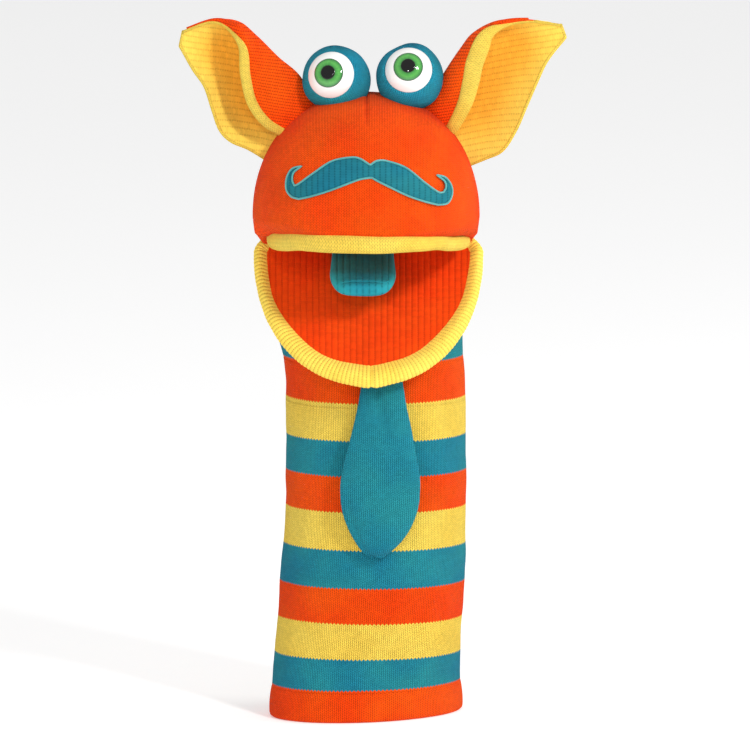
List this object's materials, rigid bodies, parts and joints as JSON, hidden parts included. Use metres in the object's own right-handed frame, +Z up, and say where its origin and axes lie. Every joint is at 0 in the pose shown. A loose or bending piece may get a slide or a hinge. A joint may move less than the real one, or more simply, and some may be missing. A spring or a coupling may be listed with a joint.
{
  "type": "sock puppet",
  "caption": "Knitted hand puppet with a striped sleeve, round head, hinged mouth with tongue, bulging eyes, cupped ears, moustache and a leaf-shaped tie.",
  "frame": {"origin": "centre of the sleeve's open lower end, in the plane of its rim", "axes": "+Z up along the sleeve to the head, the face looks along -Y, +X is to the right as seen from the front"},
  "size_m": [0.2192, 0.1245, 0.4041],
  "materials": {
    "striped_knit": "stockinette knit in orange, teal and yellow stripes, soft",
    "orange_knit": "stockinette knit, soft",
    "orange_rib": "ribbed knit, soft",
    "yellow_rib": "ribbed knit, soft",
    "teal_knit": "stockinette knit, soft",
    "orange_thread": "sewing thread",
    "eye_white": "glossy moulded plastic",
    "eye_green": "glossy print under clear coat",
    "eye_black": "glossy print under clear coat",
    "washer_plastic": "moulded plastic",
    "mouth_board": "flexible stiffener sheet",
    "pocket_knit": "plain knit, soft",
    "foam": "open-cell padding",
    "stuffing": "loose polyester filling"
  },
  "bodies": {
    "sleeve": {"sleeve_hem": "striped_knit", "hem_thread": "orange_thread", "sleeve_tube": "striped_knit"},
    "wrist": {"wrist_knit": "striped_knit"},
    "head": {"back_panel": "orange_knit", "face_panel": "orange_knit", "head_foam": "foam", "upper_palate": "orange_rib", "upper_board": "mouth_board", "upper_lip": "yellow_rib", "finger_pocket": "pocket_knit", "moustache": "teal_knit", "throat_knit": "orange_knit", "eye_ball_left": "teal_knit", "eye_ball_right": "teal_knit", "eye_dome_left": "eye_white", "eye_dome_right": "eye_white", "eye_iris_left": "eye_green", "eye_iris_right": "eye_green", "eye_pupil_left": "eye_black", "eye_pupil_right": "eye_black", "eye_stuffing_left": "stuffing", "eye_stuffing_right": "stuffing", "eye_washer_left": "washer_plastic", "eye_washer_right": "washer_plastic"},
    "jaw": {"lower_palate": "orange_rib", "lower_board": "mouth_board", "lower_lip": "yellow_rib", "chin_cover": "orange_knit"},
    "tongue": {"tongue_cover": "teal_knit", "tongue_stuffing": "stuffing"},
    "ear_left": {"ear_back_left": "orange_knit", "ear_lining_left": "yellow_rib"},
    "ear_right": {"ear_back_right": "orange_knit", "ear_lining_right": "yellow_rib"},
    "tie": {"tie_cover": "teal_knit", "tie_wadding": "stuffing"}
  },
  "joints": [
    {"name": "wrist_tilt", "type": "hinge", "parent": "sleeve", "child": "wrist", "pos_m": [0, 0, 0.182], "axis": [0, 1, 0], "range_deg": [-15, 15], "deforming": ["wrist_knit"]},
    {"name": "head_nod", "type": "hinge", "parent": "wrist", "child": "head", "pos_m": [0, 0, 0.182], "axis": [1, 0, 0], "range_deg": [-40, 12]},
    {"name": "jaw_close", "type": "hinge", "parent": "head", "child": "jaw", "pos_m": [0, -0.006, 0.27], "axis": [-1, 0, 0], "range_deg": [0, 59], "deforming": ["throat_knit"]},
    {"name": "tongue_follow", "type": "hinge", "parent": "head", "child": "tongue", "pos_m": [0, -0.006, 0.27], "axis": [-1, 0, 0], "range_deg": [0, 29.5]},
    {"name": "tie_swing", "type": "hinge", "parent": "sleeve", "child": "tie", "pos_m": [0.007, -0.037, 0.1985], "axis": [-1, 0, 0], "range_deg": [0, 20]},
    {"name": "ear_flop_left", "type": "hinge", "parent": "head", "child": "ear_left", "pos_m": [-0.047, -0.022, 0.342], "axis": [0.8165, 0, 0.5774], "range_deg": [-20, 15], "stiffness_Nm_per_rad": 0.1},
    {"name": "ear_flop_right", "type": "hinge", "parent": "head", "child": "ear_right", "pos_m": [0.047, -0.022, 0.342], "axis": [0.8165, 0, -0.5774], "range_deg": [-20, 15], "stiffness_Nm_per_rad": 0.1}
  ],
  "couplings": [
    {"joint": "tongue_follow", "follows": "jaw_close", "ratio": 0.5}
  ]
}
